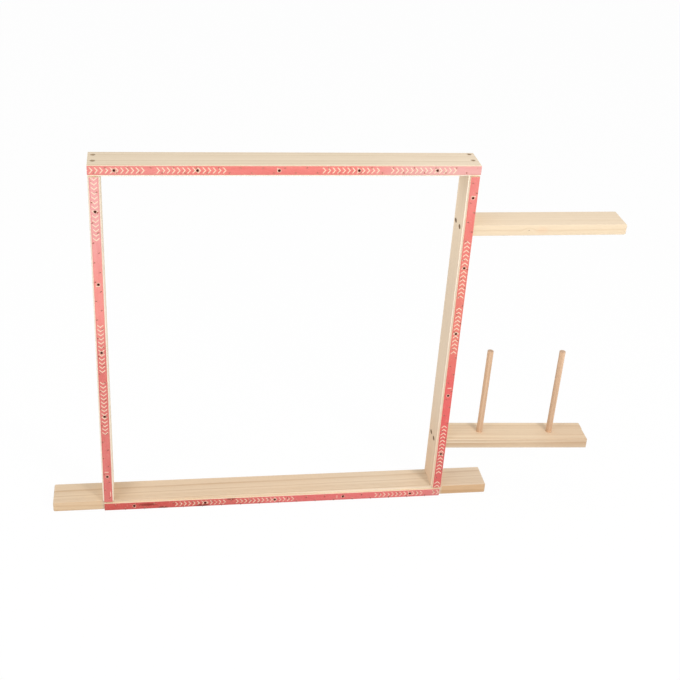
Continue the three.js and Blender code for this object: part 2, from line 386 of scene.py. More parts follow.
def pine(name, node, axis, pith, early, late, contrast, seed, front, spacing=0.0042, tilt=(0.010, 0.006),
         wander=0.004, swing=0.0, tones=(), bruise_and_shade=(0.0076, 0.85, 1.0), knot=None):
    """Planed pine for one board that is swung about Z and whose grain runs along axis. The colour goes from
    early to late wood, as far as contrast says. tones are (from, to, factor) along the grain: tones of the
    wood, and on the base board and the right stile painted light and shade as well. front is the factor for
    the front edge, painted light that makes the front faces lighter or darker than the rest of the board,
    and then those for the two ends of that edge. knot is a pin knot's place."""
    g = Surface(name)
    low, high = (Vector(v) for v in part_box(node))
    centre = (low + high) / 2
    turned = g.node("ShaderNodeVectorRotate", rotation_type="Z_AXIS")
    g.put(turned.inputs["Vector"], g.vector("SUBTRACT", g.place, centre))
    g.put(turned.inputs["Angle"], swing)
    x, y, z = g.split(turned.outputs[0])
    along, across, through = (x, y, z) if axis == 0 else (z, y, x)
    if knot:
        core, blush, bulge = knot_fields(g, (x, y, z), Vector(knot) - centre)
        across = g.add(across, bulge)
    place = (along, across, through)

    late_wood = growth_rings(g, place, pith, spacing, tilt, wander, seed)
    fibre = g.noise(place, (26.0, 1500.0, 1500.0), detail=3.0, roughness=0.6)
    streak = g.noise(place, (1.6, 110.0, 110.0), detail=3.0, roughness=0.6)
    duct = g.step(g.noise(place, (55.0, 1100.0, 1100.0), detail=1.0), 0.68, 0.78)
    blotch = g.noise((g.add(along, seed), across, through), (5.0, 10.0, 10.0))
    sawn = g.noise((across, through, along), (90.0, 1400.0, 1.0))
    ends = end_grain(g, axis)

    patch = g.step(blotch, 0.25, 0.75, 0.65, 1.25)
    grain = g.times(g.times(late_wood, contrast), patch)
    colour = g.mix(g.math("ADD", grain, g.wobble(streak, 0.55 * contrast), clamp=True), early, late)
    colour = g.mix(g.times(duct, 0.25), colour, srgb(150, 108, 70))
    colour = g.shaded(colour, g.step(fibre, 0.25, 0.75, 0.95, 1.035))
    # Tones along the grain; on the base board and the right stile some of them are painted light and shade
    for start, full, factor in tones:
        colour = g.mix(g.step(along, start, full), colour, g.tinted(colour, (*factor, 1.0)))
    # Painted light: the front faces lit brighter or darker by a factor
    colour = painted_front_light(g, colour, along, front)
    if knot:
        colour = g.mix(blush, colour, srgb(236, 176, 140))
        colour = g.mix(g.times(core, 0.7), colour, srgb(132, 84, 54))
    end_shade = g.add(g.step(sawn, 0.3, 0.7, 0.80, 0.90), g.times(late_wood, -0.16))
    end_tone = g.join(end_shade, g.times(end_shade, 0.965), g.times(end_shade, 0.91))
    colour = g.mix(ends, colour, g.tinted(colour, end_tone))
    colour, pressed = bruised_and_shaded(g, colour, fibre, node, bruise_and_shade)

    roughness = g.add(g.step(fibre, 0.2, 0.8, 0.68, 0.80), g.times(late_wood, -0.07))
    saw_marks = g.times(sawn, ends)
    height = g.total((late_wood, 0.35), (fibre, 0.45), (duct, -0.5), (saw_marks, 1.2), (pressed, -1.5))
    return g.finish(colour, roughness, height, relief=0.00012, specular=0.2)


def dowel_wood(name, seed):
    """Fine, straight-grained hardwood with short dark flecks, upright, with its pith far off to the side."""
    g = Surface(name)
    x, y, z = g.split(g.place)
    band_scale = 130.0
    pith_x = 0.6
    rings_to_the_metre = 700.0
    fibre = g.noise((x, y, z), (1300.0, 1300.0, 20.0), detail=3.0, roughness=0.6)
    band = g.noise((g.add(x, seed / band_scale), y, z), (band_scale, band_scale, 2.2))
    fleck = g.step(g.noise((x, y, z), (900.0, 900.0, 130.0), detail=1.0), 0.66, 0.74)
    colour = g.mix(g.step(band, 0.3, 0.7), srgb(228, 194, 164), srgb(208, 171, 139))
    colour = g.mix(g.times(fleck, 0.3), colour, srgb(160, 116, 84))
    colour = g.shaded(colour, g.step(fibre, 0.25, 0.75, 0.93, 1.05))
    radius = g.length(g.join(g.subtract(x, pith_x), y))
    ring = g.math("FRACT", g.total((radius, rings_to_the_metre), (band, 2.0)))
    colour = g.mix(end_grain(g, 2), colour, g.shaded(colour, g.step(ring, 0.2, 1.0, 0.84, 0.70)))
    roughness = g.step(fibre, 0.2, 0.8, 0.50, 0.62)
    return g.finish(colour, roughness, g.total((fibre, 0.6), (fleck, -0.5)), relief=0.0001, specular=0.3)


# Printed plywood. In a strip's own coordinates, x runs along it, y to its outer edge and z out of its face
def near_row(g, along, across, first, pitch, row):
    """Distance to the nearest point of a row of points."""
    off = g.math("WRAP", g.subtract(along, first), pitch / 2, -pitch / 2)
    return g.length(g.join(off, g.subtract(across, row)))


def print_marks(g, reading, y, ragged):
    """Chevrons in groups of cells, one cell of each group left empty, and the tick between two groups."""
    ragged_y = g.add(y, ragged)
    place = g.math("WRAP", g.add(reading, g.times(g.math("ABSOLUTE", y), mark_slope)), mark_period, 0.0)
    stroke = g.math("LESS_THAN", g.add(g.math("WRAP", place, mark_cell / 2, 0.0), ragged), mark_stroke)
    tall = g.math("LESS_THAN", g.math("ABSOLUTE", ragged_y), mark_half_height)
    in_group = g.math("LESS_THAN", place, mark_cells * mark_cell)
    gap = g.math("COMPARE", place, (mark_gap_cell + 0.5) * mark_cell, mark_cell / 2)
    chevrons = g.times(g.times(stroke, tall), g.times(in_group, g.subtract(1.0, gap)))
    tick_reading = g.add(g.math("WRAP", reading, mark_period, 0.0), ragged)
    narrow = g.math("COMPARE", tick_reading, tick_place, tick_half_width)
    short = g.math("COMPARE", ragged_y, tick_side, tick_half_height)
    tick = g.times(g.times(narrow, short), tick_strength)
    return g.times(g.math("MAXIMUM", chevrons, tick), mark_strength)


def band_along_edges(g, from_middle, half, start, full, strength):
    """A band along both long edges of a strip, half as wide as half says, which fades out inwards."""
    return g.step(from_middle, half - start, half - full, 0.0, strength)


def ply_edges(g, place, wood):
    """The sawn edges: three plies with glue between them, the middle one showing end grain."""
    z = place[2]
    ply = strip_thickness / 3
    core = g.math("COMPARE", z, strip_thickness / 2, ply / 2)
    glue_low = g.math("COMPARE", z, ply, glue_half_thickness)
    glue_high = g.math("COMPARE", z, ply * 2, glue_half_thickness)
    pores = g.noise(place, (900.0, 900.0, 500.0))
    core_wood = g.mix(g.step(pores, 0.35, 0.65), srgb(240, 218, 186), srgb(222, 192, 156))
    glue = g.times(g.math("MAXIMUM", glue_low, glue_high), 0.4)
    return g.mix(glue, g.mix(core, wood, core_wood), srgb(160, 120, 86))


def ink_colour(g, x, y, ragged, rim, ink, ink_shifts_and_light, seed):
    """The ink, turning to other colours along the strip, partly its own shifts and partly painted light,
    with denser patches and a darker band along both long edges.
    """
    colour = ink
    # Along the strip: the ink's own shifts, and painted light, paler toward the top of the upright strips
    # and deeper red low down
    for shift_from, shift_to, tone in ink_shifts_and_light:
        colour = g.mix(g.step(g.total((x, 1.0), (ragged, 30.0)), shift_from, shift_to), colour, tone)
    patch = g.noise((x, y, seed + 4.0), (9.0, 45.0, 1.0), detail=3.0, roughness=0.6)
    deep = g.math("MAXIMUM", g.step(patch, 0.35, 0.7, 0.0, 0.75), rim)
    return g.mix(deep, colour, g.tinted(colour, (0.93, 0.78, 0.78, 1.0)))


def printed_plywood(name, length, width, nails, direction, mark_start, wear, seed, ink, ink_shifts_and_light,
                    blemishes=()):
    """Three-ply strip with a red print. nails are the place of its first nail and the distance to the next.
    wear is how much of the bare marks is gone. ink_shifts_and_light are (from, to, colour) along the strip:
    shifts of the ink itself, and painted light that makes the upright strips paler toward the top and a
    deeper red low down. blemishes are (along, across, half its length, half its width, colour)."""
    g = Surface(name)
    x, y, z = g.split(g.place)
    half = width / 2
    rough = g.noise((x, y, seed), (160.0, 900.0, 1.0), detail=3.0, roughness=0.65)
    fibre = g.noise((x, y, seed), (40.0, 1500.0, 1.0), detail=3.0, roughness=0.6)
    ragged = g.wobble(rough, print_raggedness)
    ragged_y = g.add(y, ragged)
    from_middle = g.math("ABSOLUTE", ragged_y)

    # Bare wood: the marks, round the nails and the pins, along the edges, and in gaps of the ink
    marks = print_marks(g, g.subtract(g.times(x, direction), mark_start), y, ragged)
    nail_far = near_row(g, x, y, *nails, 0.0)
    row = half - pin_row_inset
    first_pin = pin_end_margin - length / 2
    inner = near_row(g, x, y, first_pin, pin_pitch, -row)
    outer = near_row(g, x, y, first_pin + pin_pitch / 2, pin_pitch, row)
    pin_far = g.math("MINIMUM", inner, outer)
    round_nails = g.fading(g.total((nail_far, 1.0), (ragged, 1.6)), *nail_bare)
    round_pins = g.fading(g.add(pin_far, ragged), *pin_bare)
    edge = band_along_edges(g, from_middle, half, *edge_bare)
    bare = g.math("MAXIMUM", g.math("MAXIMUM", marks, round_nails), g.math("MAXIMUM", round_pins, edge))
    rubbed = g.noise((x, y, seed + 9.0), (150.0, 260.0, 1.0), detail=3.0, roughness=0.65)
    bare = g.times(bare, g.step(rubbed, 0.20 + 0.22 * wear, 0.34 + 0.22 * wear, 1.0 - wear, 1.0))
    speckle = g.noise((x, y, seed), (420.0, 1300.0, 1.0), roughness=0.6)
    gaps = g.step(speckle, 0.60, 0.74, 0.0, 0.75)

    # The printed face, with the stains over the ink and the wood
    wood = g.mix(g.step(fibre, 0.3, 0.7), srgb(253, 238, 215), srgb(244, 222, 192))
    rim = band_along_edges(g, from_middle, half, *edge_ink)
    colour = ink_colour(g, x, y, ragged, rim, ink, ink_shifts_and_light, seed)
    printed = g.mix(g.math("MAXIMUM", bare, gaps), colour, wood)
    # Painted shade: darker red at the foot of each pin
    printed = g.mix(g.fading(pin_far, *pin_foot_shade), printed, srgb(186, 84, 76))
    printed = g.mix(g.fading(g.add(nail_far, ragged), *nail_stain), printed, srgb(124, 50, 36))
    for along, across, long, wide, tone in blemishes:
        off_along = g.math("DIVIDE", g.subtract(x, along), long)
        off_across = g.math("DIVIDE", g.subtract(ragged_y, across), wide)
        far = g.add(g.length(g.join(off_along, off_across)), g.wobble(rough, 1.7))
        streaked = g.mix(g.step(fibre, 0.3, 0.75), tone, g.mix(0.10, tone, wood))
        printed = g.mix(g.fading(far, 0.62, 0.98, 0.94), printed, streaked)

    face = g.step(g.split(g.normal)[2], 0.5, 0.8)
    colour = g.mix(face, ply_edges(g, (x, y, z), wood), printed)
    colour = g.shaded(colour, g.step(fibre, 0.25, 0.75, 0.95, 1.04))
    roughness = g.step(g.total((bare, 1.0), (fibre, 0.4)), 0.1, 1.0, 0.48, 0.68)
    height = g.total((fibre, 0.8), (bare, -0.25), (rough, 0.4))
    return g.finish(colour, roughness, height, relief=0.00016, specular=0.22)


def raised_fibres(name):
    """Printed wood that the pins have burst up."""
    g = Surface(name)
    strand = g.noise(g.split(g.place), (700.0, 1600.0, 1600.0), roughness=0.6)
    colour = g.mix(g.step(strand, 0.42, 0.66), srgb(204, 98, 90), srgb(246, 206, 180))
    return g.finish(colour, g.step(strand, 0.2, 0.8, 0.55, 0.75), strand, relief=0.0001, specular=0.3)


# Metal
def weathered_steel(name, base, rust, seed, roughness, metallic, specular):
    """Steel with a thin film, fine scratches and traces of rust."""
    g = Surface(name)
    x, y, z = g.split(g.place)
    film = g.noise((g.add(x, seed), y, z), (420.0, 420.0, 420.0), detail=3.0, roughness=0.6)
    scratch = g.step(g.noise((x, y, z), (5200.0, 700.0, 700.0)), 0.62, 0.74)
    colour = g.mix(g.step(film, 0.42, 0.68), base, rust)
    colour = g.mix(g.times(scratch, 0.3), colour, srgb(168, 160, 150))
    gloss_lost = g.step(film, 0.3, 0.7, roughness, roughness + 0.2)
    height = g.total((film, 1.0), (scratch, -0.4))
    return g.finish(colour, g.total((gloss_lost, 1.0), (scratch, -0.12)), height, relief=0.00005,
                    specular=specular, metallic=metallic)


# Meshes
def piece_from(name, bm, material, place=None, smooth=True):
    """A mesh piece that rides on the frame."""
    bmesh.ops.recalc_face_normals(bm, faces=bm.faces)
    mesh = bpy.data.meshes.new(name)
    bm.to_mesh(mesh)
    bm.free()
    for face in mesh.polygons:
        face.use_smooth = smooth
    mesh.materials.append(material)
    piece = bpy.data.objects.new(name, mesh)
    bpy.context.scene.collection.objects.link(piece)
    if place is not None:
        piece.matrix_world = place
    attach(piece, body)
    return piece


def sharpen(piece, angle):
    """Marks edges steeper than angle as sharp, so that flat faces stay flat in the shading."""
    bm = bmesh.new()
    bm.from_mesh(piece.data)
    for edge in bm.edges:
        if len(edge.link_faces) == 2 and edge.calc_face_angle() > angle:
            edge.smooth = False
    bm.to_mesh(piece.data)
    bm.free()


def add_ring_stack(bm, rings, close_end=True):
    """Skins a list of rings of points, one to the next, and closes the start and, if asked, the end."""
    rows = [[bm.verts.new(point) for point in ring] for ring in rings]
    count = len(rows[0])
    for low, high in zip(rows, rows[1:]):
        for i in range(count):
            j = (i + 1) % count
            bm.faces.new((low[i], low[j], high[j], high[i]))
    bm.faces.new(list(reversed(rows[0])))
    if close_end:
        bm.faces.new(rows[-1])
    return rows


def circle(radius, height, sides_round, squash=None):
    """Points of a ring about the local Z axis. squash(angle) scales the radius."""
    points = []
    for i in range(sides_round):
        angle = 2 * math.pi * i / sides_round
        r = radius * (squash(angle) if squash else 1.0)
        points.append(Vector((r * math.cos(angle), r * math.sin(angle), height)))
    return points


def add_turned(bm, profile, sides_round, place=None, squash=None):
    """A revolved body from (radius, height) pairs. Ends of no radius become points."""
    place = place or Matrix()
    least = 1e-5
    rings = []
    for radius, height in profile:
        points = circle(max(radius, least), height, sides_round, squash)
        rings.append([place @ point for point in points])
    add_ring_stack(bm, rings)


# Gripper strips
def strip_holder(side):
    """The strip's own axes on the frame's front, and its length and width."""
    low, high = (Vector(v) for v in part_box(f"gripper_{side}"))
    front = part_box("left_stile")[0][1]
    centre = Vector(((low.x + high.x) / 2, front, (low.z + high.z) / 2))
    turn = {"top": 0.0, "left": math.pi / 2, "base": math.pi, "right": -math.pi / 2}[side]
    upright = Matrix.Rotation(math.pi / 2, 4, "X")
    place = Matrix.Translation(centre) @ upright @ Matrix.Rotation(turn, 4, "Z")
    size = (high.x - low.x, high.z - low.z)
    return place, max(size), min(size)


def strip_outline(width, thickness, ease, steps=3):
    """Rounded rectangle across the strip, with its back on z = 0."""
    points = []
    corners = ((1, 1, 0), (-1, 1, 90), (-1, -1, 180), (1, -1, 270))
    for side_y, side_z, start in corners:
        for i in range(steps + 1):
            angle = math.radians(start + 90 * i / steps)
            y = side_y * (width / 2 - ease) + ease * math.cos(angle)
            z = thickness / 2 + side_z * (thickness / 2 - ease) + ease * math.sin(angle)
            points.append((y, z))
    return points


def build_strip(side, material, rng):
    """The strip itself, with sawn edges that are slightly uneven along its length."""
    def wave(x, depth, pace, phase):
        return depth * (1 + math.sin(pace * x + phase))

    place, length, width = strip_holder(side)
    outline = strip_outline(width, strip_thickness, strip_ease)
    # Three of the four are used: the fourth only keeps the order of the draws that follow
    phases = [rng.uniform(0, 2 * math.pi) for _ in range(4)]
    rings = []
    for i in range(strip_stations + 1):
        x = length * (i / strip_stations - 0.5)
        narrow = wave(x, 0.00010, 13, phases[0]) + wave(x, 0.00005, 61, phases[1])
        thin = wave(x, 0.00005, 17, phases[2])
        ring = []
        for y, z in outline:
            ring.append(Vector((x, y * (1 - narrow / width), z * (1 - thin / strip_thickness))))
        rings.append(ring)
    bm = bmesh.new()
    add_ring_stack(bm, rings)
    piece = piece_from(f"strip_{side}", bm, material, place)
    sharpen(piece, math.radians(35))
    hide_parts(f"gripper_{side}")


def pin_places(length, width):
    """Where the pins stand on a strip's face: an inner row, and an outer one half a pitch ahead of it."""
    row = width / 2 - pin_row_inset
    start = -length / 2 + pin_end_margin
    end = length / 2 - pin_end_margin
    places = []
    for first, y in ((start, -row), (start + pin_pitch / 2, row)):
        for i in range(int((end - first) / pin_pitch + 1.0001)):
            places.append((first + i * pin_pitch, y))
    return places


def add_pin(bm, x, y, rng):
    """One round pin with a point, slanting to the strip's outer edge."""
    reach = (pin_reach + pin_root) / math.sin(pin_slant)
    profile = (
        (pin_radius, 0.0),
        (pin_radius, reach - pin_point),
        (pin_radius * 0.72, reach - pin_point * 0.6),
        (pin_radius * 0.30, reach - pin_point * 0.15),
        (0.0, reach),
    )
    foot = Vector((x, y - pin_root / math.tan(pin_slant), strip_thickness - pin_root))
    lean = Matrix.Translation(foot) @ Matrix.Rotation(pin_slant - math.pi / 2, 4, "X")
    twist = Matrix.Rotation(rng.uniform(0, math.pi), 4, "Z")
    add_turned(bm, profile, 10, lean @ twist)


def add_splinters(bm, x, y, rng):
    """The low ragged collar of wood that a pin has raised round its foot."""
    collar = Matrix.Translation((x, y, strip_thickness))
    jags = [rng.uniform(0.75, 1.35) for _ in range(9)]
    rings = []
    for radius, height in ((2.5, -0.0001), (1.7, 0.00020), (1.05, 0.00034)):
        ring = []
        for i, jag in enumerate(jags):
            angle = 2 * math.pi * i / len(jags)
            r = pin_radius * radius * (1 + (jag - 1) * 0.7)
            ring.append(collar @ Vector((r * math.cos(angle), r * math.sin(angle), height * jag)))
        rings.append(ring)
    add_ring_stack(bm, rings)


def build_pins(side, steel, wood, rng):
    """The strip's pins as one piece, and the splinters that they raised as another."""
    place, length, width = strip_holder(side)
    pins = bmesh.new()
    splinters = bmesh.new()
    for x, y in pin_places(length, width):
        add_pin(pins, x, y, rng)
        add_splinters(splinters, x, y, rng)
    piece_from(f"pins_{side}", pins, steel, place)
    piece_from(f"splinters_{side}", splinters, wood, place, smooth=False)


def nail_row(side):
    """Where the strip's first nail is along it, in its own axes, and the distance to the next."""
    inverse = strip_holder(side)[0].inverted()
    places = []
    for number in (1, 2):
        low, high = (Vector(v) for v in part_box(f"nail_{side}_{number}"))
        places.append((inverse @ ((low + high) / 2)).x)
    return places[0], abs(places[1] - places[0])


# Nails, screws and pegs
def build_nail(node, material, rng):
    """A flat-headed nail with a slightly domed, hammered head, in the node's place."""
    low, high = (Vector(v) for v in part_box(node))
    head = Vector(((low.x + high.x) / 2, low.y + nail_head_thickness, (low.z + high.z) / 2))
    tilt_x = Matrix.Rotation(math.radians(rng.uniform(-nail_tilt_degrees, nail_tilt_degrees)), 4, "X")
    tilt_y = Matrix.Rotation(math.radians(rng.uniform(-nail_tilt_degrees, nail_tilt_degrees)), 4, "Y")
    spin = Matrix.Rotation(rng.uniform(0, math.pi), 4, "Z")
    place = Matrix.Translation(head) @ Matrix.Rotation(math.pi / 2, 4, "X") @ tilt_x @ tilt_y @ spin
    r = nail_head_radius
    h = nail_head_thickness
    profile = (
        (0.0, -nail_length),
        (nail_radius, -nail_length + nail_point),
        (nail_radius, -nail_neck),
        (nail_radius * 1.5, 0.0),
        (r * 0.94, 0.0001),
        (r, h * 0.28),
        (r, h * 0.55),
        (r * 0.95, h * 0.78),
        (r * 0.84, h * 0.90),
        (r * 0.45, h * 0.975),
        (0.0, h * 0.97),
    )
    lobes = [rng.uniform(0.0, 2 * math.pi) for _ in range(2)]

    def squash(angle):
        oval = 0.012 * (1 + math.cos(2 * angle + lobes[0]))
        dents = 0.006 * (1 + math.cos(5 * angle + lobes[1]))
        return 1 - oval - dents

    bm = bmesh.new()
    add_turned(bm, profile, 28, squash=squash)
    piece = piece_from(f"shaped_{node}", bm, material, place)
    sharpen(piece, math.radians(40))
    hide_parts(node)


def cross_outline(arm, half_width):
    """Points of a cross whose inner corners are a little outside half_width, anticlockwise."""
    inner = half_width * 1.15
    points = []
    for quarter in range(4):
        turn = Matrix.Rotation(quarter * math.pi / 2, 3, "Z")
        for x, y in ((arm, -half_width), (arm, half_width), (inner, inner)):
            points.append(turn @ Vector((x, y, 0.0)))
    return points


def add_recess(bm, rim):
    """Closes the screw's head inside its rim, with a cross recess that narrows to its floor."""
    cross = [bm.verts.new(p) for p in cross_outline(screw_head_radius * 0.56, screw_head_radius * 0.115)]
    floor = [bm.verts.new(Vector((v.co.x * 0.55, v.co.y * 0.55, -recess_depth))) for v in cross]
    edges = []
    for loop in (rim, cross):
        for i, vertex in enumerate(loop):
            following = loop[(i + 1) % len(loop)]
            edges.append(bm.edges.get((vertex, following)) or bm.edges.new((vertex, following)))
    bmesh.ops.triangle_fill(bm, use_beauty=True, use_dissolve=False, edges=edges)
    for i, vertex in enumerate(cross):
        j = (i + 1) % len(cross)
        bm.faces.new((vertex, floor[i], floor[j], cross[j]))
    bm.faces.new(floor)


def add_thread(bm, core):
    """A helical thread from below the head to the point, fading in and out over one turn."""
    steps = 14
    turns = int((screw_length - screw_point - thread_start) / thread_pitch)
    root = core * 0.96
    sections = []
    for i in range(turns * steps + 1):
        angle = 2 * math.pi * i / steps
        height = -thread_start - thread_pitch * i / steps
        fade = min(1.0, i / steps, (turns * steps - i) / steps + 0.02)
        crest = core * 0.98 + (screw_radius - core) * max(fade, 0.02)
        section = []
        for radius, lift in ((root, thread_half), (crest, 0.0), (root, -thread_half)):
            point = (radius * math.cos(angle), radius * math.sin(angle), height + lift)
            section.append(bm.verts.new(point))
        sections.append(section)
    for previous, section in zip(sections, sections[1:]):
        for j in range(3):
            k = (j + 1) % 3
            bm.faces.new((previous[j], section[j], section[k], previous[k]))
    bm.faces.new(sections[0])
    bm.faces.new(list(reversed(sections[-1])))


def build_screw(node, material):
    """A countersunk wood screw with a cross recess and a thread, in the node's place."""
    head, turn = screw_place(node)
    # The recesses stand at different angles, worked out from the letters of the screws' names
    spin = Matrix.Rotation(math.radians(sum(ord(letter) for letter in node) * 37 % 90), 4, "Z")
    cone = screw_head_radius - screw_radius
    core = screw_radius * 0.72
    profile = (
        (0.00002, -screw_length),
        (core, -screw_length + screw_point),
        (core, -core_start),
        (screw_radius * 0.95, -screw_rim - cone * 1.25),
        (screw_radius * 1.1, -screw_rim - cone * 0.92),
        (screw_head_radius, -screw_rim),
        (screw_head_radius, -screw_rim_ease),
        (screw_head_radius * 0.965, 0.0),
    )
    bm = bmesh.new()
    rings = [circle(radius, height, 48) for radius, height in profile]
    rows = add_ring_stack(bm, rings, close_end=False)
    add_recess(bm, rows[-1])
    add_thread(bm, core)
    place = Matrix.Translation(head) @ turn @ spin
    piece = piece_from(f"shaped_{node}", bm, material, place)
    sharpen(piece, math.radians(30))
    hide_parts(node)


def build_peg(node, material):
    """A turned dowel with an eased top, in the node's place."""
    low, high = (Vector(v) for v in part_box(node))
    centre = (low + high) / 2
    height = high.z - low.z
    eased_radius = peg_radius - peg_ease
    eased_height = height - peg_ease
    ease_steps = 4
    profile = [(0.0, 0.0), (peg_radius * 0.97, 0.0), (peg_radius, peg_foot_ease), (peg_radius, eased_height)]
    for i in range(1, ease_steps + 1):
        angle = math.pi / 2 * i / ease_steps
        radius = eased_radius + peg_ease * math.cos(angle)
        profile.append((radius, eased_height + peg_ease * math.sin(angle)))
    profile.append((0.0, height))
    bm = bmesh.new()
    add_turned(bm, profile, 64)
    place = Matrix.Translation((centre.x, centre.y, low.z))
    piece = piece_from(f"turned_{node}", bm, material, place)
    sharpen(piece, math.radians(50))
    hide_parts(node)


# Boards with sanded ends
def open_end(bm, end):
    """Takes the board's end face at x = end away, and returns the ring of vertices round the opening."""
    near = 1e-5
    caps = [face for face in bm.faces if all(abs(v.co.x - end) < near for v in face.verts)]
    bmesh.ops.delete(bm, geom=caps, context="FACES")
    following = {}
    for edge in bm.edges:
        if edge.is_boundary:
            loop = edge.link_loops[0]
            following[loop.vert] = loop.link_loop_next.vert
    ring = [next(iter(following))]
    while following[ring[-1]] is not ring[0]:
        ring.append(following[ring[-1]])
    return ring


def sand_end(bm, end, outward, along, radius, steps=5):
    """Rounds the board's end at x = end. outward is -1 or 1, and along is the board's own axis."""
    ring = open_end(bm, end)
    outline = [v.co.copy() for v in ring]
    centre = sum(outline, Vector()) / len(outline)

    def rounded(angle):
        """The outline, drawn back and in by as much as the round asks at this angle."""
        back = radius * (1 - math.sin(angle)) * outward
        inset = radius * (1 - math.cos(angle))
        points = []
        for place in outline:
            y = math.copysign(inset, place.y - centre.y)
            z = math.copysign(inset, place.z - centre.z)
            points.append(place - along * back - Vector((0.0, y, z)))
        return points

    for vertex, point in zip(ring, rounded(0.0)):
        vertex.co = point
    last = ring
    for part in range(1, steps + 1):
        row = [bm.verts.new(point) for point in rounded(math.pi / 2 * part / steps)]
        for i in range(len(row)):
            j = (i + 1) % len(row)
            bm.faces.new((last[j], last[i], row[i], row[j]))
        last = row
    bm.faces.new(last)
    for loop in (ring, last):
        for i, vertex in enumerate(loop):
            bm.edges.get((vertex, loop[(i + 1) % len(loop)])).smooth = False


def build_board(node, ends, radius, material, swing):
    """The node's board with its free ends sanded round. ends are -1 for the left one and 1 for the right."""
    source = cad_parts[node]
    low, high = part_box(node)
    bm = bmesh.new()
    bm.from_mesh(source.data)
    bm.transform(source.matrix_world)
    bmesh.ops.remove_doubles(bm, verts=bm.verts, dist=1e-6)
    along = Vector((math.cos(swing), -math.sin(swing), 0.0))
    for outward in ends:
        sand_end(bm, high[0] if outward > 0 else low[0], outward, along, radius)
    piece = piece_from(f"sanded_{node}", bm, material)
    sharpen(piece, math.radians(20))
    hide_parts(node)


# The object
def board_looks():
    """What pine takes for each board."""
    # front: painted light on each board's front faces, lifted on most and darker on the lower shelf, whose
    # front the lamps light less
    front_light_boost = (1.24, 1.36, 1.55)
    return {
        "top_rail": dict(
            axis=0, pith=(0.150, -0.050), spacing=0.0056, tilt=(0.006, 0.001), seed=3.1, contrast=0.50,
            early=srgb(232, 215, 190), late=srgb(188, 162, 126), front=(front_light_boost,),
            bruise_and_shade=(0.0078, 0.44, 1.0),
            tones=((0.15, 0.35, (1.05, 1.05, 1.07)),)),
        "left_stile": dict(
            axis=2, pith=(-0.120, 0.030), seed=11.4, contrast=0.35,
            early=srgb(244, 230, 208), late=srgb(216, 190, 156), front=((1.08, 1.18, 1.36),)),
        "right_stile": dict(
            axis=2, pith=(-0.130, 0.040), tilt=(0.006, 0.002), seed=17.9, contrast=0.35,
            early=srgb(235, 216, 192), late=srgb(211, 184, 152), front=(front_light_boost,),
            bruise_and_shade=(0.0068, 1.0, 0.68),
            # Painted light and shade: lighter toward the stile's top, darker and more orange toward its foot
            tones=((0.10, 0.35, (1.10, 1.11, 1.10)), (-0.10, -0.45, (0.92, 0.83, 0.76)))),
        "base_board": dict(
            axis=0, pith=(0.110, -0.060), spacing=0.0068, tilt=(-0.008, 0.003), seed=23.3, contrast=0.36,
            early=srgb(232, 207, 178), late=srgb(196, 158, 118),
            front=((1.08, 1.17, 1.28), (1.08, 1.02, 0.94), (0.88, 0.725, 0.565)),
            # Painted shade on the base board next to each stile, partly taken back beyond the stiles; the
            # other tones are the wood's own
            tones=((-0.34, -0.42, (0.87, 0.85, 0.83)), (-0.44, -0.46, (1.06, 1.10, 1.13)),
                   (0.05, 0.28, (1.0, 1.04, 1.08)), (0.36, 0.42, (0.92, 0.94, 0.94)),
                   (0.44, 0.46, (1.10, 1.10, 1.14)))),
        "upper_shelf": dict(
            axis=0, pith=(0.090, -0.060), tilt=(0.008, 0.006), wander=0.005, seed=31.6, contrast=0.26,
            early=srgb(239, 220, 194), late=srgb(210, 180, 142), front=((0.98, 0.97, 0.94),),
            knot=(0.590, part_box("upper_shelf")[0][1], 0.787)),
        "lower_shelf": dict(
            axis=0, pith=(0.110, -0.050), spacing=0.0066, tilt=(0.008, -0.004), seed=41.2, contrast=0.45,
            early=srgb(237, 215, 186), late=srgb(196, 154, 112), front=((0.90, 0.88, 0.87),),
            swing=shelf_swing,
            tones=((-0.05, -0.15, (1.01, 1.04, 1.07)), (0.02, 0.15, (0.92, 0.89, 0.87)))),
    }


def dress_boards():
    """A pine material of its own for each board, and free ends that are sanded round."""
    sanded = {
        "base_board": ((-1, 1), 0.0035),
        "upper_shelf": ((1,), 0.0050),
        "lower_shelf": ((1,), 0.0025),
    }
    for node, look in board_looks().items():
        material = pine(f"pine_{node}", node, **look)
        if node in sanded:
            ends, radius = sanded[node]
            build_board(node, ends, radius, material, look.get("swing", 0.0))
        else:
            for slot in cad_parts[node].material_slots:
                slot.material = material


